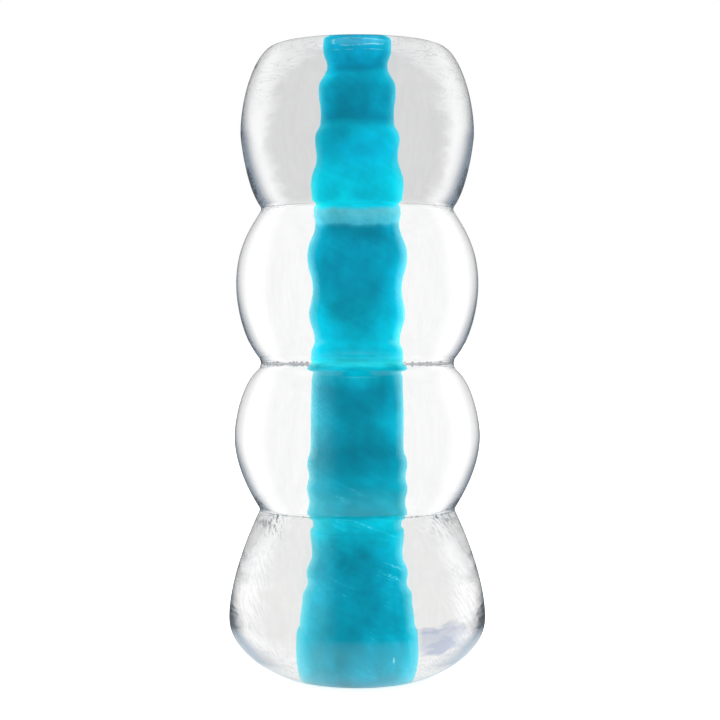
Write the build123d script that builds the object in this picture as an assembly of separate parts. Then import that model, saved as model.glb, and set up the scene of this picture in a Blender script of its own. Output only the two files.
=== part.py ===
from build123d import *
import os
from math import cos, radians, sin
from typing import NamedTuple

# A four-lobed squeeze sleeve in soft elastomer: a clear body moulded round a ringed liner,
# whose bore runs through it from the wide foot to the narrow top.
# Millimetres, +Z up, origin at the centre of the foot.


class Lobe(NamedTuple):
    """One bulge of the clear body, from the joint under it to the joint over it."""

    height: float
    belly_radius: float
    belly_height: float  # height of the widest ring above the lobe's lower end
    fullness_below: float  # share of the flank under the belly that stays near upright
    fullness_above: float
    rings: tuple  # the liner's crests and dips in this lobe: (share of its height, radius)


class Waist(NamedTuple):
    """The rounded groove between two lobes."""

    radius: float
    rounding: float
    lean_below: float  # degrees from upright where the lower lobe's flank leaves the groove
    lean_above: float


BASE = Lobe(
    height=46.2,
    belly_radius=35.0,
    belly_height=16.8,
    fullness_below=0.62,
    fullness_above=0.31,
    rings=(
        (0.29, 11.4),
        (0.325, 10.85),
        (0.45, 10.4),
        (0.525, 9.45),
        (0.57, 9.7),
        (0.675, 8.7),
        (0.80, 9.05),
        (0.83, 8.5),
        (0.94, 9.2),
    ),
)
LOWER = Lobe(
    height=39.9,
    belly_radius=33.5,
    belly_height=20.0,
    fullness_below=0.38,
    fullness_above=0.26,
    rings=(
        (0.02, 8.9),
        (0.11, 9.5),
        (0.185, 9.1),
        (0.265, 9.5),
        (0.32, 9.1),
        (0.38, 9.45),
        (0.45, 8.8),
        (0.64, 8.85),
        (0.72, 8.75),
        (0.85, 9.6),
    ),
)
UPPER = Lobe(
    height=41.9,
    belly_radius=33.0,
    belly_height=21.4,
    fullness_below=0.33,
    fullness_above=0.48,
    rings=(
        (0.04, 8.65),
        (0.19, 8.95),
        (0.245, 8.1),
        (0.37, 9.1),
        (0.49, 8.4),
        (0.64, 9.45),
        (0.78, 7.95),
        (0.84, 8.3),
        (0.98, 7.8),
    ),
)
TOP = Lobe(
    height=44.0,
    belly_radius=31.8,
    belly_height=20.6,
    fullness_below=0.13,
    fullness_above=0.43,
    rings=(
        (0.22, 8.85),
        (0.35, 7.7),
        (0.455, 8.0),
        (0.54, 6.85),
        (0.68, 7.2),
        (0.785, 5.6),
        (0.855, 6.35),
    ),
)
LOBES = (BASE, LOWER, UPPER, TOP)

WAISTS = (
    Waist(radius=26.7, rounding=1.4, lean_below=26.0, lean_above=32.0),
    Waist(radius=26.4, rounding=2.6, lean_below=50.0, lean_above=40.0),
    Waist(radius=26.2, rounding=1.4, lean_below=32.0, lean_above=37.0),
)
WAIST_PULL = 0.3  # share of a flank's height over which it keeps its lean at the groove

# The liner's ends and wall
MOUTH_RADIUS = 12.0  # outer radius of the liner at the foot
TOP_RIM_RADIUS = 6.3  # outer radius of the liner at the top face
LINER_WALL = 2.0
LIP_ROUND = 0.7
RING_PULL = 0.42  # share of the way between two rings over which the wall stays upright

# The clear body's two flat ends, and how far each flat runs on into its rounded corner
FOOT_RING = 3.0  # width of the flat ring round the mouth that the sleeve stands on
FOOT_RADIUS = MOUTH_RADIUS + FOOT_RING
FOOT_PULL = 5.1
TOP_FACE_RADIUS = 22.3
TOP_PULL = 5.1

# Heights of the joints between lobes, from the foot to the top face
JOINTS = [sum(lobe.height for lobe in LOBES[:i]) for i in range(len(LOBES) + 1)]
HEIGHT = JOINTS[-1]


def point(radius, height):
    """A point of the half section, which is drawn in the XZ plane."""
    return Vector(radius, 0, height)


def flank(start, heading, pull, belly, fullness):
    """A lobe's side: it leaves start along heading and ends upright at the belly."""
    rise = (belly - start).Z
    return Bezier(start, start + heading * pull, belly - Vector(0, 0, fullness * rise), belly)


def groove_end(waist, height, side):
    """Where a groove's arc ends and a flank begins, above (side 1) or below (side -1)."""
    lean = radians(waist.lean_above if side > 0 else waist.lean_below)
    centre = waist.radius + waist.rounding
    end = point(centre - waist.rounding * cos(lean), height + side * waist.rounding * sin(lean))
    return end, Vector(sin(lean), 0, side * cos(lean))


def body_outline():
    """The outside of the clear body, from the edge of the foot to the edge of the top face."""
    bellies = [
        point(lobe.belly_radius, joint + lobe.belly_height) for lobe, joint in zip(LOBES, JOINTS)
    ]
    edges = [
        flank(point(FOOT_RADIUS, 0), Vector(1, 0, 0), FOOT_PULL, bellies[0], BASE.fullness_below)
    ]
    for i, waist in enumerate(WAISTS):
        height = JOINTS[i + 1]
        low, down = groove_end(waist, height, -1)
        high, up = groove_end(waist, height, 1)
        below = WAIST_PULL * (low - bellies[i]).Z
        above = WAIST_PULL * (bellies[i + 1] - high).Z
        edges.append(flank(low, down, below, bellies[i], LOBES[i].fullness_above))
        edges.append(ThreePointArc(low, point(waist.radius, height), high))
        edges.append(flank(high, up, above, bellies[i + 1], LOBES[i + 1].fullness_below))
    top_edge = point(TOP_FACE_RADIUS, HEIGHT)
    edges.append(flank(top_edge, Vector(1, 0, 0), TOP_PULL, bellies[-1], TOP.fullness_above))
    return edges


def ringed_wall(inset=0.0, end_gap=0.0):
    """A line through the liner's rings, inset from its outside, from end_gap over the foot
    to end_gap under the top face. It is upright at every crest and every dip."""
    stops = [point(MOUTH_RADIUS - inset, end_gap)]
    for lobe, joint in zip(LOBES, JOINTS):
        for share, radius in lobe.rings:
            stops.append(point(radius - inset, joint + share * lobe.height))
    stops.append(point(TOP_RIM_RADIUS - inset, HEIGHT - end_gap))
    edges = []
    for low, high in zip(stops, stops[1:]):
        lift = Vector(0, 0, RING_PULL * (high - low).Z)
        edges.append(Bezier(low, low + lift, high - lift, high))
    return edges


def lip(height, side):
    """A liner end: its flat rim, and the round from there into the bore."""
    outer = MOUTH_RADIUS if side > 0 else TOP_RIM_RADIUS
    bore = outer - LINER_WALL
    rim = Line(point(outer, height), point(bore + LIP_ROUND, height))
    corner = LIP_ROUND * (1 - cos(radians(45)))
    middle = point(bore + corner, height + side * corner)
    inward = ThreePointArc(
        point(bore + LIP_ROUND, height), middle, point(bore, height + side * LIP_ROUND)
    )
    return [rim, inward]


def turned(edges):
    """The solid that a closed half section sweeps round the Z axis."""
    return revolve(Face(Wire(edges)), Axis.Z, 360)


def clear_body():
    """The clear part: lobed outside, and a cavity that the liner fills to the foot and top."""
    foot = Line(point(MOUTH_RADIUS, 0), point(FOOT_RADIUS, 0))
    top_face = Line(point(TOP_FACE_RADIUS, HEIGHT), point(TOP_RIM_RADIUS, HEIGHT))
    return turned([foot, *body_outline(), top_face, *ringed_wall()])


def ringed_liner():
    """The coloured part: an even wall that follows its rings inside and out."""
    outside = ringed_wall()
    bore = ringed_wall(inset=LINER_WALL, end_gap=LIP_ROUND)
    return turned([*outside, *lip(0, 1), *lip(HEIGHT, -1), *bore])


if __name__ == "__main__":
    os.makedirs("parts", exist_ok=True)
    for name, shape in (("clear_body", clear_body()), ("ringed_liner", ringed_liner())):
        shape.label = name
        export_step(shape, f"parts/{name}.step")
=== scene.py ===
import math

import bpy
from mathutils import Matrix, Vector


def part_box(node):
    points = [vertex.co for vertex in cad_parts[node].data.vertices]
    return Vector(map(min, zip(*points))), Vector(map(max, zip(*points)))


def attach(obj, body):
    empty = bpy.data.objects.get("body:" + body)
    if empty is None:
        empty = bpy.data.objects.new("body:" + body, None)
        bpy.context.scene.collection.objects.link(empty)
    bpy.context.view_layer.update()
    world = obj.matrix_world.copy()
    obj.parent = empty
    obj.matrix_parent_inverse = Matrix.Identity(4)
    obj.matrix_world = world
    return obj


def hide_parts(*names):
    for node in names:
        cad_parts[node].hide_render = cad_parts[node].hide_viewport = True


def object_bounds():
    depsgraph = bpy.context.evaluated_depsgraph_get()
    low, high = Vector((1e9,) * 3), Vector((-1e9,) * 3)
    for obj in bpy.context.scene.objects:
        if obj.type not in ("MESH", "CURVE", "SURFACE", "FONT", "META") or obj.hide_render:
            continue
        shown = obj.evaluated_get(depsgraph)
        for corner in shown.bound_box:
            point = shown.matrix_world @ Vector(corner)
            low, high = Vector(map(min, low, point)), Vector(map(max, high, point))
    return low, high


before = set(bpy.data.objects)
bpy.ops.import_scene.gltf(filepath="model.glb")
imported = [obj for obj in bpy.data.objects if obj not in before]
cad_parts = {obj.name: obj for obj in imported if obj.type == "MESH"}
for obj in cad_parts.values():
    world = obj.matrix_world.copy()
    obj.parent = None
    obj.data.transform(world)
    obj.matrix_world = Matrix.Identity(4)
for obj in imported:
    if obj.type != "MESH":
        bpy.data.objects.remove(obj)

# A squeeze sleeve of two bonded mouldings, a water-clear gel body and a blue ringed liner.
# Metres, +Z up, origin at the centre of the foot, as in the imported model.

bl_info = {
    "name": "Squeeze Sleeve",
    "version": (1, 0, 0),
    "blender": (4, 5, 0),
    "location": "3D View > Sidebar > Sleeve",
    "description": "Models a clear lobed squeeze sleeve with a ringed liner, and its studio",
    "category": "Add Mesh",
}

CAD_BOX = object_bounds()
HEIGHT = CAD_BOX[1].z
BELT_RADIUS = CAD_BOX[1].x
MOUTH_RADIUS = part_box("ringed_liner")[1].x
MM = 0.001


def linear(hex_colour):
    """An sRGB hex colour as linear RGBA."""

    def channel(value):
        return value / 12.92 if value <= 0.04045 else ((value + 0.055) / 1.055) ** 2.4

    parts = [int(hex_colour[i : i + 2], 16) / 255 for i in (1, 3, 5)]
    return (*[channel(v) for v in parts], 1.0)


# ---------------------------------------------------------------- settings


def colour_setting(name, description, hex_colour):
    """A colour in the panel, whose default is an sRGB hex colour."""
    return bpy.props.FloatVectorProperty(
        name=name,
        description=description,
        size=4,
        default=linear(hex_colour),
        min=0.0,
        max=1.0,
        subtype="COLOR",
    )


class SleeveGelSettings(bpy.types.PropertyGroup):
    """Sizes and colours of the clear body. Lobes and waists run from the foot upwards."""

    lobe_heights: bpy.props.FloatVectorProperty(
        name="Lower lobe heights",
        description="Height of each lobe but the top one, which takes the rest",
        size=3,
        default=(46.2 * MM, 39.9 * MM, 41.9 * MM),
        unit="LENGTH",
    )
    belly_radii: bpy.props.FloatVectorProperty(
        name="Belly radii",
        description="Radius of each lobe's widest ring",
        size=4,
        default=(BELT_RADIUS, 33.5 * MM, 33.0 * MM, 31.8 * MM),
        unit="LENGTH",
    )
    belly_heights: bpy.props.FloatVectorProperty(
        name="Belly heights",
        description="Height of each widest ring above its lobe's lower end",
        size=4,
        default=(16.8 * MM, 20.0 * MM, 21.4 * MM, 20.6 * MM),
        unit="LENGTH",
    )
    fullness_below: bpy.props.FloatVectorProperty(
        name="Fullness below",
        description="Share of the flank under each belly that stays near upright",
        size=4,
        default=(0.62, 0.38, 0.33, 0.13),
        min=0.0,
        max=1.0,
    )
    fullness_above: bpy.props.FloatVectorProperty(
        name="Fullness above",
        description="Share of the flank over each belly that stays near upright",
        size=4,
        default=(0.31, 0.26, 0.48, 0.43),
        min=0.0,
        max=1.0,
    )
    waist_radii: bpy.props.FloatVectorProperty(
        name="Waist radii",
        description="Radius at the bottom of each groove",
        size=3,
        default=(26.7 * MM, 26.4 * MM, 26.2 * MM),
        unit="LENGTH",
    )
    waist_roundings: bpy.props.FloatVectorProperty(
        name="Waist roundings",
        description="Radius of each groove's own arc",
        size=3,
        default=(1.4 * MM, 2.6 * MM, 1.4 * MM),
        unit="LENGTH",
    )
    lean_below: bpy.props.FloatVectorProperty(
        name="Lean below",
        description="Angle from upright at which the lower flank leaves each groove",
        size=3,
        default=tuple(math.radians(a) for a in (26.0, 50.0, 32.0)),
        subtype="EULER",
    )
    lean_above: bpy.props.FloatVectorProperty(
        name="Lean above",
        description="Angle from upright at which the upper flank leaves each groove",
        size=3,
        default=tuple(math.radians(a) for a in (32.0, 40.0, 37.0)),
        subtype="EULER",
    )
    foot_ring: bpy.props.FloatProperty(
        name="Foot ring",
        description="Width of the flat ring round the mouth",
        default=3.0 * MM,
        unit="LENGTH",
    )
    top_face_radius: bpy.props.FloatProperty(
        name="Top face radius",
        description="Radius of the flat top inside its rounded shoulder",
        default=22.3 * MM,
        unit="LENGTH",
    )
    # Painted shade: the slate edge, the cool patch and the dark lines in wrinkles and creases are
    # shade painted into the gel
    painted_edge_shade: colour_setting("Edge", "Slate tint where the gel is seen edge on", "#5C7086")
    painted_patch_shade: colour_setting("Cool patch", "Tint low at the front right", "#9AA6C4")
    crease_shade_colour: colour_setting("Dust", "Dust in the wrinkles and creases", "#50565C")
    flow_line_colour: colour_setting("Flow lines", "Fine lines round the shoulder", "#8E969E")
    haze_colour: colour_setting("Haze", "Tint that the gel takes with its depth", "#C8CCD0")
    haze_density: bpy.props.FloatProperty(
        name="Haze density", description="Absorption by the gel, per metre", default=1.5
    )
    refraction: bpy.props.FloatProperty(
        name="Refraction", description="Index of refraction of the gel", default=1.45
    )


class SleeveLinerSettings(bpy.types.PropertyGroup):
    """Sizes and colours of the blue liner."""

    wall: bpy.props.FloatProperty(
        name="Wall", description="Wall thickness", default=2.0 * MM, unit="LENGTH"
    )
    rim_radius: bpy.props.FloatProperty(
        name="Top rim radius",
        description="Outer radius at the top face",
        default=6.3 * MM,
        unit="LENGTH",
    )
    lip_round: bpy.props.FloatProperty(
        name="Lip rounding",
        description="Radius from each end face into the bore",
        default=0.7 * MM,
        unit="LENGTH",
    )
    light_depth: bpy.props.FloatProperty(
        name="Light depth",
        description="How far light sinks into the pigmented wall",
        default=1.8 * MM,
        unit="LENGTH",
    )
    # Painted sheen, rim and glints on the liner take this pale colour, as do its real flecks
    painted_sheen_and_fleck_colour: colour_setting("Bloom", "Pale powder, streaks, flecks and seams", "#9CE6EC")
    sheen_colour: colour_setting("Sheen", "Soft sheen of the bonded wall", "#B8F4FA")


class SleeveStageSettings(bpy.types.PropertyGroup):
    """The studio round the sleeve."""

    camera_distance: bpy.props.FloatProperty(
        name="Camera distance",
        description="From the lens to the sleeve's axis",
        default=0.492,
        unit="LENGTH",
    )
    camera_height: bpy.props.FloatProperty(
        name="Camera height", description="Over the floor", default=0.0937, unit="LENGTH"
    )
    aim_side: bpy.props.FloatProperty(
        name="Aim to the side", description="Right of the axis", default=0.75 * MM, unit="LENGTH"
    )
    aim_height: bpy.props.FloatProperty(
        name="Aim height", description="Over the floor", default=86.9 * MM, unit="LENGTH"
    )
    focal_length: bpy.props.FloatProperty(
        name="Focal length", description="In mm", default=90.0, unit="CAMERA"
    )
    floor_colour: colour_setting("Floor", "White card under the sleeve", "#F2F2F2")


# ---------------------------------------------------------------- outline

# The liner's crests and dips by lobe, from the foot upwards: (share of the lobe's height, mm)
RINGS = (
    ((0.29, 11.4), (0.325, 10.85), (0.45, 10.4), (0.525, 9.45), (0.57, 9.7), (0.675, 8.7),
     (0.80, 9.05), (0.83, 8.5), (0.94, 9.2)),
    ((0.02, 8.9), (0.11, 9.5), (0.185, 9.1), (0.265, 9.5), (0.32, 9.1), (0.38, 9.45),
     (0.45, 8.8), (0.64, 8.85), (0.72, 8.75), (0.85, 9.6)),
    ((0.04, 8.65), (0.19, 8.95), (0.245, 8.1), (0.37, 9.1), (0.49, 8.4), (0.64, 9.45),
     (0.78, 7.95), (0.84, 8.3), (0.98, 7.8)),
    ((0.22, 8.85), (0.35, 7.7), (0.455, 8.0), (0.54, 6.85), (0.68, 7.2), (0.785, 5.6),
     (0.855, 6.35)),
)
WAIST_PULL = 0.3  # how far a curve keeps its heading at a waist, as a share of its rise
RING_PULL = 0.42
FOOT_PULL = 5.1 * MM  # and how far outwards at the foot and the top face
TOP_PULL = 5.1 * MM
BOND = 0.12 * MM  # the clear wall is drawn this far inside the liner, as they are fused
BOND_DIP = 0.02 * MM  # and this far under the liner's end faces


def at(radius, height):
    return Vector((radius, 0, height))


def lobe_ends(gel):
    """Heights of the foot, the three waists and the top face."""
    heights = [0.0]
    for height in gel.lobe_heights:
        heights.append(heights[-1] + height)
    return [*heights, HEIGHT]


def flank(start, heading, pull, belly, fullness):
    """Control points of a lobe's side, from start along heading to upright at the belly."""
    rise = belly.z - start.z
    return [start, start + heading * pull, belly - Vector((0, 0, fullness * rise)), belly]


def backwards(segment):
    return segment[::-1]


def arc(centre, radius, start, end):
    """Control points of a circular arc between two angles from -X, positive upwards."""
    reach = 4 / 3 * math.tan((end - start) / 4) * radius

    def on(angle):
        return centre + radius * Vector((-math.cos(angle), 0, math.sin(angle)))

    def along(angle):
        return reach * Vector((math.sin(angle), 0, math.cos(angle)))

    return [on(start), on(start) + along(start), on(end) - along(end), on(end)]


def body_outline(gel):
    """The clear body's outside, from the edge of the foot to the edge of the top face."""
    levels = lobe_ends(gel)
    bellies = [at(r, z + h) for r, z, h in zip(gel.belly_radii, levels, gel.belly_heights)]
    foot = at(MOUTH_RADIUS + gel.foot_ring, 0)
    chain = [flank(foot, Vector((1, 0, 0)), FOOT_PULL, bellies[0], gel.fullness_below[0])]
    for i, radius in enumerate(gel.waist_radii):
        rounding = gel.waist_roundings[i]
        down, up = gel.lean_below[i], gel.lean_above[i]
        groove = arc(at(radius + rounding, levels[i + 1]), rounding, -down, up)
        low, high = groove[0], groove[-1]
        below = flank(
            low,
            Vector((math.sin(down), 0, -math.cos(down))),
            WAIST_PULL * (low.z - bellies[i].z),
            bellies[i],
            gel.fullness_above[i],
        )
        above = flank(
            high,
            Vector((math.sin(up), 0, math.cos(up))),
            WAIST_PULL * (bellies[i + 1].z - high.z),
            bellies[i + 1],
            gel.fullness_below[i + 1],
        )
        chain += [backwards(below), groove, above]
    edge = at(gel.top_face_radius, HEIGHT)
    shoulder = flank(edge, Vector((1, 0, 0)), TOP_PULL, bellies[-1], gel.fullness_above[-1])
    return [*chain, backwards(shoulder)]


def ringed_wall(gel, liner, inset=0.0, end_gap=0.0):
    """The liner's rings as a chain, inset from its outside, upright at crests and dips."""
    levels = lobe_ends(gel)
    stops = [at(MOUTH_RADIUS - inset, end_gap)]
    for rings, low, high in zip(RINGS, levels, levels[1:]):
        stops += [at(radius * MM - inset, low + share * (high - low)) for share, radius in rings]
    stops.append(at(liner.rim_radius - inset, HEIGHT - end_gap))
    chain = []
    for low, high in zip(stops, stops[1:]):
        lift = Vector((0, 0, RING_PULL * (high.z - low.z)))
        chain.append([low, low + lift, high - lift, high])
    return chain


def straight(start, end):
    third = (end - start) / 3
    return [start, start + third, end - third, end]


# ---------------------------------------------------------------- modelling

MERGE_WITHIN = 0.002 * MM
SMOOTH_UNDER = math.radians(40)  # the end faces' edges stay crisp


def deselect_all():
    if bpy.context.object and bpy.context.object.mode != "OBJECT":
        bpy.ops.object.mode_set(mode="OBJECT")
    bpy.ops.object.select_all(action="DESELECT")


def drawn_curve(name, chains):
    """A Bezier curve object with one spline per (chain of segments, points per segment)."""
    deselect_all()
    bpy.ops.curve.primitive_bezier_curve_add(location=(0, 0, 0))
    outline = bpy.context.object
    outline.name = name
    outline.data.splines.clear()
    outline.data.dimensions = "3D"
    for chain, fineness in chains:
        spline = outline.data.splines.new("BEZIER")
        spline.resolution_u = fineness
        spline.bezier_points.add(len(chain))
        knots = spline.bezier_points
        for i, knot in enumerate(knots):
            knot.handle_left_type = knot.handle_right_type = "FREE"
            knot.co = chain[i][0] if i < len(chain) else chain[-1][3]
            knot.handle_right = chain[i][1] if i < len(chain) else knot.co
            knot.handle_left = chain[i - 1][2] if i else knot.co


def turned(name, chains, steps):
    """A closed half outline spun round the Z axis, as one shell with smooth sides."""
    drawn_curve(name, chains)
    bpy.ops.object.convert(target="MESH")
    piece = bpy.context.object
    bpy.ops.object.mode_set(mode="EDIT")
    bpy.ops.mesh.select_all(action="SELECT")
    bpy.ops.mesh.remove_doubles(threshold=MERGE_WITHIN)
    bpy.ops.mesh.spin(
        steps=steps, angle=math.tau, center=(0, 0, 0), axis=(0, 0, 1), dupli=False
    )
    bpy.ops.mesh.select_all(action="SELECT")
    bpy.ops.mesh.remove_doubles(threshold=MERGE_WITHIN)
    bpy.ops.mesh.normals_make_consistent(inside=False)
    bpy.ops.object.mode_set(mode="OBJECT")
    bpy.ops.object.shade_smooth_by_angle(angle=SMOOTH_UNDER)
    return piece


# ---------------------------------------------------------------- materials

# The clear body's surface: slow ripples, upright draw marks, and wrinkles under the waists
RIPPLE_SPACING = 14 * MM
RIPPLE_DEPTH = 0.05 * MM
DRAW_MARK_WIDTH = 1.1 * MM
DRAW_MARK_LENGTH = 7 * MM
DRAW_MARK_DEPTH = 0.005 * MM
WRINKLE_WIDTH = 0.7 * MM  # drawn about twice as coarse as the real ones are, to show
WRINKLE_LENGTH = 5 * MM
WRINKLE_DEPTH = 0.014 * MM
WRINKLE_TWIST = 25.0  # radians per metre that a wrinkle runs round the body
WRINKLED_FROM = 18 * MM  # off the middle, towards the two sides where the mould parts
WRINKLED_TO = 21 * MM
CREASED_FROM = 11 * MM  # off the middle, where the lines of painted shade in the creases set in
CREASED_TO = 13 * MM
CREASE_SHADE_STRENGTH = 0.8
# By waist: how far the wrinkles reach below and above it (mm), their depth as a share, and half the
# height of the line of painted shade in the crease (mm)
WRINKLED = ((11.0, 0.6, 1.0, 0.22), (1.4, 1.4, 0.9, 0.8), (0.7, 0.7, 0.4, 0.08))

# Flow lines round the shoulder, where the gel met the end of the tool
FLOW_LINE_SPACING = 9 * MM
FLOW_LINE_FLATNESS = 5.0
FLOW_LINES = ((0.5, 0.012), (0.58, 0.010))  # level of the noise and half the line's width in it
FLOW_LINE_STRENGTH = 0.35
SHOULDER_FROM = 150 * MM
SHOULDER_TO = 158 * MM

# Painted shade by height, which the gel's thick middle shows: grey in the top lobe, where less
# light falls on it, and faintly grey in the foot (height in mm, colour)
GEL_SHADE_BY_HEIGHT = (
    (0.0, "#F1F1F0"), (45.0, "#F1F1F0"), (48.0, "#FFFFFF"), (126.5, "#FFFFFF"),
    (129.5, "#DEDEDE"), (172.0, "#DEDEDE"),
)
# Facing runs from 0, square on, to 1, edge on
CLEAR_FROM = 0.30  # facing at which the painted grey shade starts to go, towards the clear band
CLEAR_TO = 0.46
RAGGEDNESS = 0.30  # facing by which the clear band's inner border strays
CLEARER_ABOVE = 0.22  # facing that a surface gains as it looks up, so that upward faces lose the painted shade sooner: painted light from above
PATCH_SIZE = 9 * MM
PATCH_FLATNESS = 3.0
FROSTED_BELOW = 44 * MM  # from here up the lowest lobe's frosting fades out
FROSTED_TO = 47 * MM
SHADE_FROM = 0.70  # facing at which the painted slate shade of the edge starts
SHADE_TO = 1.0
# Heights (mm) between which the painted slate shade of the edge grows wider and narrows again, and
# by how much
WIDER_EDGES = ((6.0, 11.0, 18.0, 34.0), (126.5, 129.0, 146.0, 162.0))
EDGE_GROWTH = 0.13
LOOKS_DOWN = -0.3  # a normal's Z, and the facing that the painted edge shade gains there
GAINED_BELOW = 0.15
LOOKS_UP = 0.6
LOST_ABOVE = -0.16
FOOT_FROM = 2 * MM  # between these heights the painted slate shade of the edge comes in from nothing
FOOT_TO = 7 * MM
LOST_AT_FOOT = -0.4
# The cool patch of painted shade low at the front right: (axis, where it begins, where it is full),
# in mm.
# "Up" is the height plus a waver, which gives the patch its uneven border.
COOL_PATCH = (("X", 15, 17), ("X", 31, 25), ("Y", -8, -12), ("Up", 14.5, 16))
COOL_TOP = (23.5, 22)
COOL_WAVER = 9 * MM

# Painted light and shade by height: lighter and darker bands up the liner, where the lobes gather
# light or shade it, and a pale painted reflection under the top waist (height in mm, colour)
LINER_LIGHT_AND_SHADE = (
    (0.0, "#18B6CE"), (12.4, "#1CB4CC"), (13.0, "#00AAC4"), (20.0, "#00A2BC"),
    (26.0, "#009CB6"), (33.0, "#00A6C0"), (41.0, "#00C8DE"), (54.0, "#009EB4"),
    (63.0, "#007489"), (69.0, "#00889E"), (76.0, "#00829A"), (83.0, "#00BCD0"),
    (87.0, "#30E2F0"), (93.0, "#00C0D8"), (106.0, "#0090AA"), (118.8, "#0096B2"),
    (119.4, "#48BAD0"), (123.0, "#60C6D6"), (124.2, "#00DEF4"), (136.0, "#00DAF2"),
    (144.0, "#00B2D0"), (150.0, "#00ACC6"), (151.2, "#008CA8"), (156.0, "#00A8C8"),
    (160.5, "#00C2E2"), (162.0, "#00A0C4"), (165.0, "#00B4D8"), (167.0, "#10BCDC"),
    (172.0, "#0CA0BC"),
)
TONE_WAVER = 4 * MM  # how far the tones wander up and down
CLOUD_SIZE = 12 * MM
CLOUD_SHADES = (0.74, 1.28)  # the darkest and the lightest share of the tone
POWDER_SIZE = 0.5 * MM  # the grain of the painted sheen and of the wisps, drawn coarse enough to show
STREAK_WIDTH = 1.9 * MM
STREAK_LENGTH = 5 * MM
STREAK_TWIST = 215.0  # radians per metre that a streak runs round the liner
STREAKED_BELOW = 60 * MM
STREAKED_TO = 50 * MM
FLECK_SPACING = 7 * MM
FLECK_SIZE = 0.3 * MM
# Painted glints: thin pale lines across the upper end, on the front and back only
GLINT_SPACING = 0.7 * MM
GLINT_WIDTH = 0.12 * MM
GLINT_LENGTH = 7 * MM
GLINT_WAVER = 1.6 * MM
GLINTS_FROM = 165.6 * MM
GLINTS_TO = 166.2 * MM
GLINT_STRENGTH = 0.7
GLINT_REACH = (5.4, 4.2)  # off the middle, in mm, where the painted glints begin and are full
# Painted sheen: a pale rim where the wall turns away, and a pale wash on the left of the lower
# half, where more light falls; the rim is fainter at the top
RIM_SHEEN_STRENGTH = 0.50
LEFT_SHEEN_STRENGTH = 0.14
LEFT_SHEEN_SIDE = (-3, -9)  # along X, in mm, where the powder begins and is full
LEFT_SHEEN_HEIGHT = (96, 70)
RIM_SHEEN_FADES_FROM = 124 * MM
RIM_SHEEN_FADES_TO = 130 * MM
RIM_SHEEN_LEFT_AT_TOP = 0.4


def add_node(tree, kind, inputs=(), **settings):
    """A node of that kind, with settings as attributes and inputs as values or links."""
    node = tree.nodes.new(kind)
    for key, value in settings.items():
        setattr(node, key, value)
    for key, value in dict(inputs).items():
        if isinstance(value, bpy.types.NodeSocket):
            tree.links.new(value, node.inputs[key])
        else:
            node.inputs[key].default_value = value
    return node


def fresh_material(name):
    material = bpy.data.materials.new(name)
    material.use_nodes = True
    material.node_tree.nodes.clear()
    return material


def tone_by_height(tree, height, tones):
    """A colour that runs with the height, through stops given in mm up the sleeve."""
    level = add_node(tree, "ShaderNodeMath", {0: height, 1: 1 / HEIGHT}, operation="MULTIPLY")
    tone = add_node(tree, "ShaderNodeValToRGB", {"Fac": level.outputs[0]})
    stops = tone.color_ramp.elements
    for end in (0, -1):
        stops[end].position = tones[end][0] * MM / HEIGHT
        stops[end].color = linear(tones[end][1])
    for stop_height, colour in tones[1:-1]:
        stops.new(stop_height * MM / HEIGHT).color = linear(colour)
    return tone.outputs["Color"]


def slanting_noise(tree, where, place, twist, width, length, **grain):
    """Noise drawn out into upright marks, which run round the piece as they climb."""
    turn = add_node(tree, "ShaderNodeMath", {0: place.outputs["Z"], 1: twist}, operation="MULTIPLY")
    slant = add_node(tree, "ShaderNodeVectorRotate", {
        "Vector": where.outputs["Object"], "Angle": turn.outputs[0],
    }, rotation_type="Z_AXIS")
    drawn_out = add_node(tree, "ShaderNodeMapping", {
        "Vector": slant.outputs[0], "Scale": (1.0, 1.0, width / length),
    })
    return add_node(tree, "ShaderNodeTexNoise", {
        "Vector": drawn_out.outputs[0], "Scale": 1 / width, **grain,
    })


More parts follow.
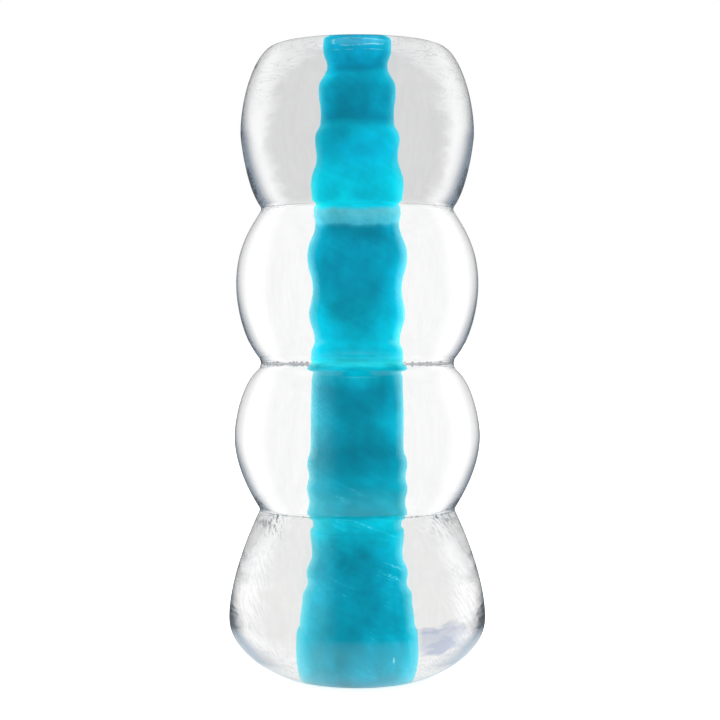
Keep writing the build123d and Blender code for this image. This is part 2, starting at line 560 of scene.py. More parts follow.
def clear_gel_material(gel, waists):
    """Oil-extended thermoplastic elastomer, moulded in a polished tool: water-clear, glossy.

    Slow ripples and upright draw marks from stripping it off the tool, fine wrinkles and creases
    where it folds at the waists, and flow lines round the shoulder. Painted shade makes its thick
    middle a little grey, then comes a clear band, and seen edge on it is painted slate. Painted
    shade also darkens lines in its wrinkles and creases, and lies as a cool patch low at the front
    right.
    """
    material = fresh_material("clear_elastomer_gel_polished")
    tree = material.node_tree
    where = add_node(tree, "ShaderNodeTexCoord")
    place = add_node(tree, "ShaderNodeSeparateXYZ", {"Vector": where.outputs["Object"]})
    normal = add_node(tree, "ShaderNodeSeparateXYZ", {"Vector": where.outputs["Normal"]})
    facing = add_node(tree, "ShaderNodeLayerWeight", {"Blend": 0.5})

    swell = add_node(tree, "ShaderNodeTexNoise", {
        "Vector": where.outputs["Object"], "Scale": 1 / RIPPLE_SPACING, "Detail": 1.0,
    })
    ripples = add_node(tree, "ShaderNodeBump", {
        "Strength": 1.0, "Distance": RIPPLE_DEPTH, "Height": swell.outputs["Fac"],
    })
    upright = add_node(tree, "ShaderNodeMapping", {
        "Vector": where.outputs["Object"], "Scale": (1.0, 1.0, DRAW_MARK_WIDTH / DRAW_MARK_LENGTH),
    })
    drawn = add_node(tree, "ShaderNodeTexNoise", {
        "Vector": upright.outputs[0], "Scale": 1 / DRAW_MARK_WIDTH, "Detail": 2.0,
    })
    draw_marks = add_node(tree, "ShaderNodeBump", {
        "Strength": 1.0,
        "Distance": DRAW_MARK_DEPTH,
        "Height": drawn.outputs["Fac"],
        "Normal": ripples.outputs[0],
    })

    # How near a fold each height is, and the line of painted shade in the crease, broken by the
    # marks
    near_fold = 0.0
    in_crease = 0.0
    for height, reach_below, reach_above, amount, shade_line in waists:
        swelling = add_node(tree, "ShaderNodeMapRange", {
            "Value": drawn.outputs["Fac"], "From Min": 0.48, "From Max": 0.66,
            "To Min": 0.3 * shade_line, "To Max": shade_line,
        })
        crease = add_node(tree, "ShaderNodeMath", {
            0: place.outputs["Z"], 1: height, 2: swelling.outputs[0],
        }, operation="COMPARE")
        in_crease = add_node(tree, "ShaderNodeMath", {
            0: in_crease, 1: crease.outputs[0],
        }, operation="MAXIMUM").outputs[0]
        rise = add_node(tree, "ShaderNodeMath", {
            0: place.outputs["Z"], 1: height,
        }, operation="SUBTRACT")
        above = add_node(tree, "ShaderNodeMapRange", {
            "Value": rise.outputs[0], "From Min": 0.0, "From Max": reach_above,
            "To Min": amount, "To Max": 0.0,
        }, interpolation_type="SMOOTHSTEP")
        below = add_node(tree, "ShaderNodeMapRange", {
            "Value": rise.outputs[0], "From Min": -reach_below, "From Max": 0.0,
        }, interpolation_type="SMOOTHSTEP")
        band = add_node(tree, "ShaderNodeMath", {
            0: above.outputs[0], 1: below.outputs[0],
        }, operation="MULTIPLY")
        near_fold = add_node(tree, "ShaderNodeMath", {
            0: near_fold, 1: band.outputs[0],
        }, operation="MAXIMUM").outputs[0]
    sideways = add_node(tree, "ShaderNodeMath", {0: place.outputs["X"]}, operation="ABSOLUTE")
    at_side = add_node(tree, "ShaderNodeMapRange", {
        "Value": sideways.outputs[0], "From Min": WRINKLED_FROM, "From Max": WRINKLED_TO,
    }, interpolation_type="SMOOTHSTEP")
    puckered = add_node(tree, "ShaderNodeMath", {
        0: near_fold, 1: at_side.outputs[0],
    }, operation="MULTIPLY")
    beside = add_node(tree, "ShaderNodeMapRange", {
        "Value": sideways.outputs[0], "From Min": CREASED_FROM, "From Max": CREASED_TO,
        "To Min": 0.0, "To Max": CREASE_SHADE_STRENGTH,
    }, interpolation_type="SMOOTHSTEP")
    crease_shade = add_node(tree, "ShaderNodeMath", {
        0: in_crease, 1: beside.outputs[0],
    }, operation="MULTIPLY")

    creased = slanting_noise(
        tree, where, place, WRINKLE_TWIST, WRINKLE_WIDTH, WRINKLE_LENGTH, Detail=2.0
    )
    fold = add_node(tree, "ShaderNodeMath", {
        0: creased.outputs["Fac"], 1: puckered.outputs[0],
    }, operation="MULTIPLY")
    wrinkles = add_node(tree, "ShaderNodeBump", {
        "Strength": 1.0,
        "Distance": WRINKLE_DEPTH,
        "Height": fold.outputs[0],
        "Normal": draw_marks.outputs[0],
    })

    # The painted shade by height, with the draw marks showing faintly in it
    tone = tone_by_height(tree, place.outputs["Z"], GEL_SHADE_BY_HEIGHT)
    brushed = add_node(tree, "ShaderNodeMapRange", {
        "Value": drawn.outputs["Fac"], "From Min": 0.3, "From Max": 0.7,
        "To Min": 0.94, "To Max": 1.0,
    })
    middle = add_node(tree, "ShaderNodeVectorMath", {
        0: tone, "Scale": brushed.outputs[0],
    }, operation="SCALE")

    # Towards the edges the painted grey shade gives way to a clear band with an irregular inner
    # border
    flattened = add_node(tree, "ShaderNodeMapping", {
        "Vector": where.outputs["Object"], "Scale": (1.0, 1.0, PATCH_FLATNESS),
    })
    patches = add_node(tree, "ShaderNodeTexNoise", {
        "Vector": flattened.outputs[0], "Scale": 1 / PATCH_SIZE, "Detail": 3.0,
    })
    ragged = add_node(tree, "ShaderNodeMath", {
        0: patches.outputs["Fac"], 1: RAGGEDNESS, 2: facing.outputs["Facing"],
    }, operation="MULTIPLY_ADD")
    # Faces that look up lose the painted shade sooner: painted light from above
    looks_up = add_node(tree, "ShaderNodeMath", {
        0: normal.outputs["Z"], 1: 0.0,
    }, operation="MAXIMUM")
    border = add_node(tree, "ShaderNodeMath", {
        0: looks_up.outputs[0], 1: CLEARER_ABOVE, 2: ragged.outputs[0],
    }, operation="MULTIPLY_ADD")
    clear = add_node(tree, "ShaderNodeMapRange", {
        "Value": border.outputs[0],
        "From Min": CLEAR_FROM + RAGGEDNESS / 2, "From Max": CLEAR_TO + RAGGEDNESS / 2,
    }, interpolation_type="SMOOTHSTEP")
    # In the lowest lobe the clear band is frosted with fine marks
    frosted = add_node(tree, "ShaderNodeMapRange", {
        "Value": creased.outputs["Fac"], "From Min": 0.40, "From Max": 0.56,
        "To Min": 0.78, "To Max": 1.0,
    })
    over_base = add_node(tree, "ShaderNodeMapRange", {
        "Value": place.outputs["Z"], "From Min": FROSTED_BELOW, "From Max": FROSTED_TO,
    })
    band_tone = add_node(tree, "ShaderNodeMath", {
        0: frosted.outputs[0], 1: over_base.outputs[0],
    }, operation="MAXIMUM")
    band_colour = add_node(tree, "ShaderNodeVectorMath", {
        0: (1.0, 1.0, 1.0), "Scale": band_tone.outputs[0],
    }, operation="SCALE")
    banded = add_node(tree, "ShaderNodeMix", {
        "Factor": clear.outputs[0], "A": middle.outputs[0], "B": band_colour.outputs[0],
    }, data_type="RGBA")

    # Flow lines, only in the clear band of the shoulder
    laid_flat = add_node(tree, "ShaderNodeMapping", {
        "Vector": where.outputs["Object"], "Scale": (1.0, 1.0, FLOW_LINE_FLATNESS),
    })
    flow = add_node(tree, "ShaderNodeTexNoise", {
        "Vector": laid_flat.outputs[0], "Scale": 1 / FLOW_LINE_SPACING, "Detail": 2.0,
    })
    lines = 0.0
    for noise_level, half_width in FLOW_LINES:
        line = add_node(tree, "ShaderNodeMath", {
            0: flow.outputs["Fac"], 1: noise_level, 2: half_width,
        }, operation="COMPARE")
        lines = add_node(tree, "ShaderNodeMath", {
            0: lines, 1: line.outputs[0],
        }, operation="MAXIMUM").outputs[0]
    on_shoulder = add_node(tree, "ShaderNodeMapRange", {
        "Value": place.outputs["Z"], "From Min": SHOULDER_FROM, "From Max": SHOULDER_TO,
        "To Min": 0.0, "To Max": FLOW_LINE_STRENGTH,
    }, interpolation_type="SMOOTHSTEP")
    lined = add_node(tree, "ShaderNodeMath", {
        0: lines, 1: on_shoulder.outputs[0],
    }, operation="MULTIPLY")
    traced = add_node(tree, "ShaderNodeMath", {
        0: lined.outputs[0], 1: clear.outputs[0],
    }, operation="MULTIPLY")
    flowed = add_node(tree, "ShaderNodeMix", {
        "Factor": traced.outputs[0], "A": banded.outputs["Result"], "B": gel.flow_line_colour,
    }, data_type="RGBA")

    # A cool patch of painted shade low in the foot, at the front right, with uneven edges
    uneven = add_node(tree, "ShaderNodeMath", {
        0: patches.outputs["Fac"], 1: COOL_WAVER, 2: place.outputs["Z"],
    }, operation="MULTIPLY_ADD")
    low = add_node(tree, "ShaderNodeMapRange", {
        "Value": uneven.outputs[0],
        "From Min": COOL_TOP[0] * MM, "From Max": COOL_TOP[1] * MM,
    }, interpolation_type="SMOOTHSTEP")
    dappled = add_node(tree, "ShaderNodeMapRange", {
        "Value": patches.outputs["Fac"], "From Min": 0.44, "From Max": 0.54,
        "To Min": 0.7, "To Max": 1.0,
    }, interpolation_type="SMOOTHSTEP")
    patch_shade = add_node(tree, "ShaderNodeMath", {
        0: low.outputs[0], 1: dappled.outputs[0],
    }, operation="MULTIPLY")
    along = {"X": place.outputs["X"], "Y": place.outputs["Y"], "Up": uneven.outputs[0]}
    for axis, begins, full in COOL_PATCH:
        inside = add_node(tree, "ShaderNodeMapRange", {
            "Value": along[axis], "From Min": begins * MM, "From Max": full * MM,
        })
        patch_shade = add_node(tree, "ShaderNodeMath", {
            0: patch_shade.outputs[0], 1: inside.outputs[0],
        }, operation="MULTIPLY")
    patched = add_node(tree, "ShaderNodeMix", {
        "Factor": patch_shade.outputs[0], "A": flowed.outputs["Result"], "B": gel.painted_patch_shade,
    }, data_type="RGBA")

    # Painted shade: the edge is painted slate, and wider where the surface looks a little down
    tilt = add_node(tree, "ShaderNodeMapRange", {
        "Value": normal.outputs["Z"], "From Min": LOOKS_DOWN, "From Max": LOOKS_UP,
        "To Min": GAINED_BELOW, "To Max": LOST_ABOVE,
    })
    leaning = add_node(tree, "ShaderNodeMath", {
        0: facing.outputs["Facing"], 1: tilt.outputs[0],
    }, operation="ADD")
    for grows_from, grows_to, narrows_from, narrows_to in WIDER_EDGES:
        growing = add_node(tree, "ShaderNodeMapRange", {
            "Value": place.outputs["Z"],
            "From Min": grows_from * MM, "From Max": grows_to * MM,
            "To Min": 0.0, "To Max": EDGE_GROWTH,
        })
        narrowing = add_node(tree, "ShaderNodeMapRange", {
            "Value": place.outputs["Z"],
            "From Min": narrows_from * MM, "From Max": narrows_to * MM,
            "To Min": 1.0, "To Max": 0.0,
        })
        leaning = add_node(tree, "ShaderNodeMath", {
            0: growing.outputs[0], 1: narrowing.outputs[0], 2: leaning.outputs[0],
        }, operation="MULTIPLY_ADD")
    at_foot = add_node(tree, "ShaderNodeMapRange", {
        "Value": place.outputs["Z"], "From Min": FOOT_FROM, "From Max": FOOT_TO,
        "To Min": LOST_AT_FOOT, "To Max": 0.0,
    })
    edge_on = add_node(tree, "ShaderNodeMath", {
        0: leaning.outputs[0], 1: at_foot.outputs[0],
    }, operation="ADD")
    edge = add_node(tree, "ShaderNodeMapRange", {
        "Value": edge_on.outputs[0], "From Min": SHADE_FROM, "From Max": SHADE_TO,
    }, interpolation_type="SMOOTHSTEP")
    edged = add_node(tree, "ShaderNodeMix", {
        "Factor": edge.outputs[0], "A": patched.outputs["Result"], "B": gel.painted_edge_shade,
    }, data_type="RGBA")

    # Painted shade darkens lines along the wrinkles and in the creases
    dark_wrinkle_lines = add_node(tree, "ShaderNodeMapRange", {
        "Value": creased.outputs["Fac"], "From Min": 0.50, "From Max": 0.58,
    }, interpolation_type="SMOOTHSTEP")
    wrinkle_shade = add_node(tree, "ShaderNodeMath", {
        0: dark_wrinkle_lines.outputs[0], 1: puckered.outputs[0],
    }, operation="MULTIPLY")
    painted_crease_shade = add_node(tree, "ShaderNodeMath", {
        0: wrinkle_shade.outputs[0], 1: crease_shade.outputs[0],
    }, operation="MAXIMUM")
    crease_shaded = add_node(tree, "ShaderNodeMix", {
        "Factor": painted_crease_shade.outputs[0], "A": edged.outputs["Result"], "B": gel.crease_shade_colour,
    }, data_type="RGBA")
    skin = add_node(tree, "ShaderNodeBsdfPrincipled", {
        "Base Color": crease_shaded.outputs["Result"],
        "Roughness": 0.0,
        "IOR": gel.refraction,
        "Transmission Weight": 1.0,
        "Normal": wrinkles.outputs[0],
    })
    haze = add_node(tree, "ShaderNodeVolumeAbsorption", {
        "Color": gel.haze_colour, "Density": gel.haze_density,
    })
    add_node(tree, "ShaderNodeOutputMaterial", {
        "Surface": skin.outputs[0],
        "Volume": haze.outputs[0],
    })
    return material


def blue_elastomer_material(liner, name, bonded):
    """Pigmented thermoplastic elastomer: turquoise, soft, light sinks a little way in.

    Clouded and streaked where the pigment is uneven, with small pale flecks. Its lighter and darker
    bands by height are painted light and shade, and its pale rim where the wall turns away, its
    pale wisps and the thin pale lines near the top are painted sheen and glints. Where it is bonded
    into the clear body no air lies between them, so it has no gloss.
    """
    material = fresh_material(name)
    tree = material.node_tree
    where = add_node(tree, "ShaderNodeTexCoord")
    place = add_node(tree, "ShaderNodeSeparateXYZ", {"Vector": where.outputs["Object"]})
    facing = add_node(tree, "ShaderNodeLayerWeight", {"Blend": 0.5})

    # Painted light and shade by height, which wander with the clouds
    cloud = add_node(tree, "ShaderNodeTexNoise", {
        "Vector": where.outputs["Object"], "Scale": 1 / CLOUD_SIZE, "Detail": 5.0,
        "Roughness": 0.55,
    })
    off_middle = add_node(tree, "ShaderNodeMath", {
        0: cloud.outputs["Fac"], 1: 0.5,
    }, operation="SUBTRACT")
    wavering = add_node(tree, "ShaderNodeMath", {
        0: off_middle.outputs[0], 1: TONE_WAVER, 2: place.outputs["Z"],
    }, operation="MULTIPLY_ADD")
    tone = tone_by_height(tree, wavering.outputs[0], LINER_LIGHT_AND_SHADE)
    cloudy = add_node(tree, "ShaderNodeMapRange", {
        "Value": cloud.outputs["Fac"], "From Min": 0.35, "From Max": 0.65,
        "To Min": CLOUD_SHADES[0], "To Max": CLOUD_SHADES[1],
    })
    streak = slanting_noise(
        tree, where, place, STREAK_TWIST, STREAK_WIDTH, STREAK_LENGTH, Detail=3.0, Roughness=0.6
    )
    streaky = add_node(tree, "ShaderNodeMapRange", {
        "Value": streak.outputs["Fac"], "From Min": 0.3, "From Max": 0.7,
        "To Min": 0.95, "To Max": 1.05,
    })
    shade = add_node(tree, "ShaderNodeMath", {
        0: cloudy.outputs[0], 1: streaky.outputs[0],
    }, operation="MULTIPLY")
    colour = add_node(tree, "ShaderNodeVectorMath", {
        0: tone, "Scale": shade.outputs[0],
    }, operation="SCALE")

    # Grainy wisps of painted sheen where the clouds gather, and round flecks, all in the lower part
    powder = add_node(tree, "ShaderNodeTexNoise", {
        "Vector": where.outputs["Object"], "Scale": 1 / POWDER_SIZE, "Detail": 2.0,
    })
    grainy = add_node(tree, "ShaderNodeMapRange", {
        "Value": powder.outputs["Fac"], "From Min": 0.42, "From Max": 0.62,
    }, interpolation_type="SMOOTHSTEP")
    wisps = add_node(tree, "ShaderNodeMapRange", {
        "Value": streak.outputs["Fac"], "From Min": 0.54, "From Max": 0.70,
        "To Min": 0.0, "To Max": 0.34,
    }, interpolation_type="SMOOTHSTEP")
    broken = add_node(tree, "ShaderNodeMath", {
        0: wisps.outputs[0], 1: grainy.outputs[0],
    }, operation="MULTIPLY")
    gathered = add_node(tree, "ShaderNodeMapRange", {
        "Value": cloud.outputs["Fac"], "From Min": 0.46, "From Max": 0.56,
    }, interpolation_type="SMOOTHSTEP")
    painted_wisps = add_node(tree, "ShaderNodeMath", {
        0: broken.outputs[0], 1: gathered.outputs[0],
    }, operation="MULTIPLY")
    flecks = add_node(tree, "ShaderNodeTexVoronoi", {
        "Vector": where.outputs["Object"], "Scale": 1 / FLECK_SPACING,
    })
    fleck = add_node(tree, "ShaderNodeMapRange", {
        "Value": flecks.outputs["Distance"],
        "From Min": FLECK_SIZE / FLECK_SPACING, "From Max": 0.5 * FLECK_SIZE / FLECK_SPACING,
        "To Min": 0.0, "To Max": 0.8,
    })
    marks = add_node(tree, "ShaderNodeMath", {
        0: painted_wisps.outputs[0], 1: fleck.outputs[0],
    }, operation="MAXIMUM")
    low = add_node(tree, "ShaderNodeMapRange", {
        "Value": wavering.outputs[0], "From Min": STREAKED_BELOW, "From Max": STREAKED_TO,
    }, interpolation_type="SMOOTHSTEP")
    low_marks = add_node(tree, "ShaderNodeMath", {
        0: marks.outputs[0], 1: low.outputs[0],
    }, operation="MULTIPLY")

    # Painted glints: thin level lines with a slow waver, broken up by the streaks
    glint_noise = add_node(tree, "ShaderNodeTexNoise", {
        "Vector": where.outputs["Object"], "Scale": 1 / GLINT_LENGTH, "Detail": 1.0,
    })
    warped = add_node(tree, "ShaderNodeMath", {
        0: glint_noise.outputs["Fac"], 1: GLINT_WAVER, 2: place.outputs["Z"],
    }, operation="MULTIPLY_ADD")
    folded = add_node(tree, "ShaderNodeMath", {
        0: warped.outputs[0], 1: GLINT_SPACING / 2,
    }, operation="PINGPONG")
    glint = add_node(tree, "ShaderNodeMath", {
        0: folded.outputs[0], 1: 0.0, 2: GLINT_WIDTH / 2,
    }, operation="COMPARE")
    near_top = add_node(tree, "ShaderNodeMapRange", {
        "Value": place.outputs["Z"], "From Min": GLINTS_FROM, "From Max": GLINTS_TO,
        "To Min": 0.0, "To Max": GLINT_STRENGTH,
    })
    in_places = add_node(tree, "ShaderNodeMapRange", {
        "Value": streak.outputs["Fac"], "From Min": 0.44, "From Max": 0.58,
    }, interpolation_type="SMOOTHSTEP")
    sideways = add_node(tree, "ShaderNodeMath", {0: place.outputs["X"]}, operation="ABSOLUTE")
    across = add_node(tree, "ShaderNodeMapRange", {
        "Value": sideways.outputs[0],
        "From Min": GLINT_REACH[0] * MM, "From Max": GLINT_REACH[1] * MM,
    })
    for gate in (near_top, in_places, across):
        glint = add_node(tree, "ShaderNodeMath", {
            0: glint.outputs[0], 1: gate.outputs[0],
        }, operation="MULTIPLY")
    marked = add_node(tree, "ShaderNodeMath", {
        0: low_marks.outputs[0], 1: glint.outputs[0],
    }, operation="MAXIMUM")

    # Painted sheen: a pale rim where the wall turns away, grainy, with a pale wash on the left of
    # the lower half
    turned_away = add_node(tree, "ShaderNodeMapRange", {
        "Value": facing.outputs["Facing"], "From Min": 0.42, "From Max": 0.95,
        "To Min": 0.0, "To Max": RIM_SHEEN_STRENGTH,
    })
    grain = add_node(tree, "ShaderNodeMapRange", {
        "Value": grainy.outputs[0], "To Min": 0.75, "To Max": 1.0,
    })
    to_left = add_node(tree, "ShaderNodeMapRange", {
        "Value": place.outputs["X"],
        "From Min": LEFT_SHEEN_SIDE[0] * MM, "From Max": LEFT_SHEEN_SIDE[1] * MM,
        "To Min": 0.0, "To Max": LEFT_SHEEN_STRENGTH,
    }, interpolation_type="SMOOTHSTEP")
    lower_half = add_node(tree, "ShaderNodeMapRange", {
        "Value": wavering.outputs[0],
        "From Min": LEFT_SHEEN_HEIGHT[0] * MM, "From Max": LEFT_SHEEN_HEIGHT[1] * MM,
    }, interpolation_type="SMOOTHSTEP")
    rim_sheen_fade = add_node(tree, "ShaderNodeMapRange", {
        "Value": place.outputs["Z"], "From Min": RIM_SHEEN_FADES_FROM, "From Max": RIM_SHEEN_FADES_TO,
        "To Min": 1.0, "To Max": RIM_SHEEN_LEFT_AT_TOP,
    })
    faded_rim_sheen = add_node(tree, "ShaderNodeMath", {
        0: turned_away.outputs[0], 1: rim_sheen_fade.outputs[0],
    }, operation="MULTIPLY")
    painted_sheen = add_node(tree, "ShaderNodeMath", {
        0: to_left.outputs[0], 1: lower_half.outputs[0], 2: faded_rim_sheen.outputs[0],
    }, operation="MULTIPLY_ADD")
    grainy_painted_sheen = add_node(tree, "ShaderNodeMath", {
        0: painted_sheen.outputs[0], 1: grain.outputs[0],
    }, operation="MULTIPLY")
    pale = add_node(tree, "ShaderNodeMath", {
        0: marked.outputs[0], 1: grainy_painted_sheen.outputs[0] if bonded else 0.0,
    }, operation="MAXIMUM")
    sheened_and_flecked = add_node(tree, "ShaderNodeMix", {
        "Factor": pale.outputs[0], "A": colour.outputs[0], "B": liner.painted_sheen_and_fleck_colour,
    }, data_type="RGBA")
    skin = add_node(tree, "ShaderNodeBsdfPrincipled", {
        "Base Color": sheened_and_flecked.outputs["Result"],
        "Roughness": 0.42,
        "Specular IOR Level": 0.0 if bonded else 0.5,
        "Subsurface Weight": 1.0,
        "Subsurface Radius": (0.25, 1.0, 1.1),  # the pigment soaks up red light soonest
        "Subsurface Scale": liner.light_depth,
        "Sheen Weight": 0.3 if bonded else 0.0,
        "Sheen Roughness": 0.25,
        "Sheen Tint": liner.sheen_colour,
    })
    add_node(tree, "ShaderNodeOutputMaterial", {"Surface": skin.outputs[0]})
    return material


# ---------------------------------------------------------------- pieces

GEL_STEPS = 192  # faces round the axis
LINER_STEPS = 144
# Edges along each curve or straight of the outlines
BODY_CURVE = 22
CAVITY_CURVE = 5
TOP_FACE = 4
FOOT_FACE = 2
RING_CURVE = 6
BORE_CURVE = 4
LIP_CURVE = 6
LIP_FACE = 2
LEVEL_FACE = 0.95  # a face normal's Z from which a liner face counts as an end face


class SLEEVE_OT_clear_body(bpy.types.Operator):
    """Model the clear gel body"""

    bl_idname = "sleeve.clear_body"
    bl_label = "Clear Body"

    def execute(self, context):
        gel, liner = context.scene.sleeve_gel, context.scene.sleeve_liner
        outside = body_outline(gel)
        cavity = ringed_wall(gel, liner, inset=BOND, end_gap=BOND_DIP)
        foot = straight(cavity[0][0], outside[0][0])
        top = straight(outside[-1][3], cavity[-1][3])
        chains = [
            (outside, BODY_CURVE),
            (cavity, CAVITY_CURVE),
            ([foot], FOOT_FACE),
            ([top], TOP_FACE),
        ]
        piece = turned("clear_body_gel", chains, GEL_STEPS)
        waists = [
            (level, below * MM, above * MM, amount, shade_line * MM)
            for level, (below, above, amount, shade_line) in zip(lobe_ends(gel)[1:], WRINKLED)
        ]
        piece.data.materials.append(clear_gel_material(gel, waists))
        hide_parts("clear_body")
        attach(piece, "root")
        return {"FINISHED"}


class SLEEVE_OT_ringed_liner(bpy.types.Operator):
    """Model the blue ringed liner"""

    bl_idname = "sleeve.ringed_liner"
    bl_label = "Ringed Liner"

    def execute(self, context):
        gel, liner = context.scene.sleeve_gel, context.scene.sleeve_liner
        outside = ringed_wall(gel, liner)
        bore = ringed_wall(gel, liner, inset=liner.wall, end_gap=liner.lip_round)
        chains = [(outside, RING_CURVE), (bore, BORE_CURVE)]
        for outer, inner in ((outside[0][0], bore[0][0]), (outside[-1][3], bore[-1][3])):
            side = 1 if inner.z > outer.z else -1
            centre = inner + Vector((liner.lip_round, 0, 0))
            turn = arc(centre, liner.lip_round, 0, -side * math.pi / 2)
            chains.append(([turn], LIP_CURVE))
            chains.append(([straight(turn[3], outer)], LIP_FACE))
        piece = turned("ringed_liner_tube", chains, LINER_STEPS)
        for name, bonded in (("blue_elastomer_bonded", True), ("blue_elastomer_bare", False)):
            piece.data.materials.append(blue_elastomer_material(liner, name, bonded))
        for face in piece.data.polygons:
            outward = face.normal.x * face.center.x + face.normal.y * face.center.y > 0
            if not outward or abs(face.normal.z) > LEVEL_FACE:
                face.material_index = 1
        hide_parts("ringed_liner")
        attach(piece, "root")
        return {"FINISHED"}


# ---------------------------------------------------------------- stage

FLOOR_SIZE = 40.0  # in metres, so that its edge is never seen
FLOOR_GAP = 0.2 * MM  # under the foot, whose flat ring would share the floor's plane
FLOOR_LIFT = 0.50  # the card's own light for the camera, so that it shows white
FADE_FROM = 36 * MM  # off the axis, where the card gives way to the room behind the gel
FADE_TO = 95 * MM
# How bright the room is, as seen through the gel: at its sides and at its corners
THROUGH_SIDES = 1.04
THROUGH_CORNERS = 1.25
CORNER_FROM = math.radians(28)
CORNER_TO = math.radians(43)
# As mirrored: its walls and its ceiling
MIRRORED_WALLS = 0.12
MIRRORED_CEILING = 1.0
CEILING_FROM = math.radians(70)
CEILING_TO = math.radians(78)
# And as it lights the pieces: from front and back, and from both sides
LIT_AHEAD = 1.1
LIT_SIDES = 3.0
LIT_SHIFT = 0.1  # the light from the right reaches a little further round
LIT_FROM = 0.3  # the sideways part of a direction: 0 is ahead, 1 is straight to the side
LIT_TO = 0.85
LIGHT_BOUNCES = 64  # light is turned back many times inside the foot
SENSOR_WIDTH = 36.0  # in mm


def floor_material(colour):
    """Matt white card: keeps the sleeve's shadow, and fades into the room away from it."""
    material = fresh_material("white_card_matt")
    tree = material.node_tree
    path = add_node(tree, "ShaderNodeLightPath")
    card = add_node(tree, "ShaderNodeBsdfDiffuse", {"Color": colour})
    lift = add_node(tree, "ShaderNodeMath", {
        0: path.outputs["Is Camera Ray"], 1: FLOOR_LIFT,
    }, operation="MULTIPLY")
    glow = add_node(tree, "ShaderNodeEmission", {"Strength": lift.outputs[0]})
    both = add_node(tree, "ShaderNodeAddShader", {0: card.outputs[0], 1: glow.outputs[0]})
    where = add_node(tree, "ShaderNodeTexCoord")
    far = add_node(tree, "ShaderNodeVectorMath", {0: where.outputs["Object"]}, operation="LENGTH")
    away = add_node(tree, "ShaderNodeMapRange", {
        "Value": far.outputs["Value"], "From Min": FADE_FROM, "From Max": FADE_TO,
    }, interpolation_type="SMOOTHSTEP")
    bent = add_node(tree, "ShaderNodeMath", {
        0: path.outputs["Is Transmission Ray"], 1: path.outputs["Is Glossy Ray"],
    }, operation="MAXIMUM")
    gone = add_node(tree, "ShaderNodeMath", {
        0: away.outputs[0], 1: bent.outputs[0],
    }, operation="MULTIPLY")
    room = add_node(tree, "ShaderNodeBsdfTransparent")
    surface = add_node(tree, "ShaderNodeMixShader", {
        0: gone.outputs[0], 1: both.outputs[0], 2: room.outputs[0],
    })
    add_node(tree, "ShaderNodeOutputMaterial", {"Surface": surface.outputs[0]})
    return material


def studio_world():
    """White backdrop for the camera, and a plain pale room round the sleeve.

    Through the gel the room is nearly even, a little brighter at its corners. In reflections
    it is dark with a white ceiling, and it lights the pieces most from both sides.
    """
    world = bpy.data.worlds.new("studio_room")
    bpy.context.scene.world = world
    world.use_nodes = True
    tree = world.node_tree
    tree.nodes.clear()
    where = add_node(tree, "ShaderNodeTexCoord")
    axes = add_node(tree, "ShaderNodeSeparateXYZ", {"Vector": where.outputs["Generated"]})
    turn = add_node(tree, "ShaderNodeMath", {
        0: axes.outputs["X"], 1: axes.outputs["Y"],
    }, operation="ARCTAN2")
    rise = add_node(tree, "ShaderNodeMath", {0: axes.outputs["Z"]}, operation="ARCSINE")

    corner = add_node(tree, "ShaderNodeMath", {
        0: turn.outputs[0], 1: math.radians(45),
    }, operation="PINGPONG")
    through = add_node(tree, "ShaderNodeMapRange", {
        "Value": corner.outputs[0],
        "From Min": CORNER_FROM, "From Max": CORNER_TO,
        "To Min": THROUGH_SIDES, "To Max": THROUGH_CORNERS,
    }, interpolation_type="SMOOTHSTEP")

    mirrored = add_node(tree, "ShaderNodeMapRange", {
        "Value": rise.outputs[0],
        "From Min": CEILING_FROM, "From Max": CEILING_TO,
        "To Min": MIRRORED_WALLS, "To Max": MIRRORED_CEILING,
    }, interpolation_type="SMOOTHSTEP")

    off_centre = add_node(tree, "ShaderNodeMath", {
        0: axes.outputs["X"], 1: LIT_SHIFT,
    }, operation="ADD")
    across = add_node(tree, "ShaderNodeMath", {0: off_centre.outputs[0]}, operation="ABSOLUTE")
    lit = add_node(tree, "ShaderNodeMapRange", {
        "Value": across.outputs[0], "From Min": LIT_FROM, "From Max": LIT_TO,
        "To Min": LIT_AHEAD, "To Max": LIT_SIDES,
    }, interpolation_type="SMOOTHSTEP")

    path = add_node(tree, "ShaderNodeLightPath")
    entered = add_node(tree, "ShaderNodeMath", {
        0: path.outputs["Transmission Depth"], 1: 0.5,
    }, operation="GREATER_THAN")
    looked_at = add_node(tree, "ShaderNodeMix", {
        "Factor": entered.outputs[0],
        "A": mirrored.outputs[0], "B": through.outputs[0],
    }, data_type="FLOAT")
    lights = add_node(tree, "ShaderNodeMath", {
        0: path.outputs["Diffuse Depth"], 1: 0.5,
    }, operation="GREATER_THAN")
    seen = add_node(tree, "ShaderNodeMix", {
        "Factor": lights.outputs[0], "A": looked_at.outputs["Result"], "B": lit.outputs[0],
    }, data_type="FLOAT")
    strength = add_node(tree, "ShaderNodeMix", {
        "Factor": path.outputs["Is Camera Ray"], "A": seen.outputs["Result"], "B": 1.0,
    }, data_type="FLOAT")
    sky = add_node(tree, "ShaderNodeBackground", {
        "Color": linear("#FFFFFF"), "Strength": strength.outputs["Result"],
    })
    add_node(tree, "ShaderNodeOutputWorld", {"Surface": sky.outputs[0]})


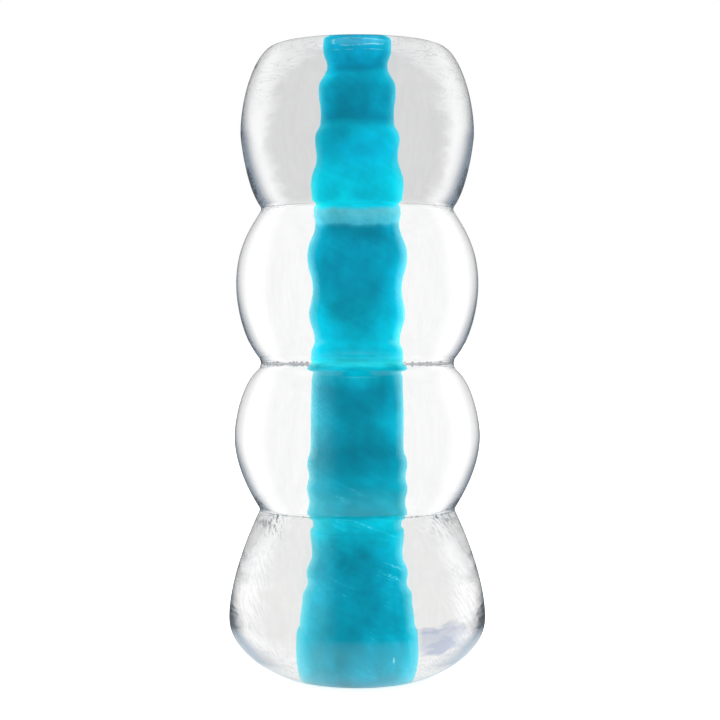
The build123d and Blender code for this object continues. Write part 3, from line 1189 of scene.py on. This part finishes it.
class SLEEVE_OT_stage(bpy.types.Operator):
    """Set up the floor, the room's light and the camera"""

    bl_idname = "sleeve.stage"
    bl_label = "Stage"

    def execute(self, context):
        settings = context.scene.sleeve_stage
        deselect_all()
        bpy.ops.mesh.primitive_plane_add(size=FLOOR_SIZE, location=(0, 0, -FLOOR_GAP))
        floor = bpy.context.object
        floor.name = "stage_floor"
        floor.data.materials.append(floor_material(settings.floor_colour))
        studio_world()
        bpy.ops.object.camera_add(location=(0, -settings.camera_distance, settings.camera_height))
        camera = bpy.context.object
        camera.name = "studio_camera"
        camera.data.lens = settings.focal_length
        camera.data.sensor_width = SENSOR_WIDTH
        aim = Vector((settings.aim_side, 0, settings.aim_height))
        camera.rotation_euler = (aim - camera.location).to_track_quat("-Z", "Y").to_euler()
        context.scene.camera = camera
        context.scene.view_settings.view_transform = "Standard"
        light_paths = context.scene.cycles
        light_paths.max_bounces = LIGHT_BOUNCES
        light_paths.transmission_bounces = LIGHT_BOUNCES
        light_paths.glossy_bounces = LIGHT_BOUNCES
        return {"FINISHED"}


class SLEEVE_PT_panel(bpy.types.Panel):
    """Pieces of the sleeve, in the order they are made"""

    bl_label = "Squeeze Sleeve"
    bl_space_type = "VIEW_3D"
    bl_region_type = "UI"
    bl_category = "Sleeve"

    def draw(self, context):
        layout = self.layout
        for operator in OPERATORS:
            layout.operator(operator.bl_idname)
        for group in SETTINGS:
            settings = getattr(context.scene, group)
            for name in settings.bl_rna.properties.keys():
                if name not in ("rna_type", "name"):
                    layout.prop(settings, name)


OPERATORS = (SLEEVE_OT_ringed_liner, SLEEVE_OT_clear_body, SLEEVE_OT_stage)
SETTINGS = {
    "sleeve_gel": SleeveGelSettings,
    "sleeve_liner": SleeveLinerSettings,
    "sleeve_stage": SleeveStageSettings,
}


def register():
    for cls in (*SETTINGS.values(), *OPERATORS, SLEEVE_PT_panel):
        bpy.utils.register_class(cls)
    for name, cls in SETTINGS.items():
        setattr(bpy.types.Scene, name, bpy.props.PointerProperty(type=cls))


def unregister():
    for name in SETTINGS:
        delattr(bpy.types.Scene, name)
    for cls in reversed((*SETTINGS.values(), *OPERATORS, SLEEVE_PT_panel)):
        bpy.utils.unregister_class(cls)


def main():
    register()
    bpy.ops.sleeve.ringed_liner()
    bpy.ops.sleeve.clear_body()
    bpy.ops.sleeve.stage()


if __name__ == "__main__":
    main()
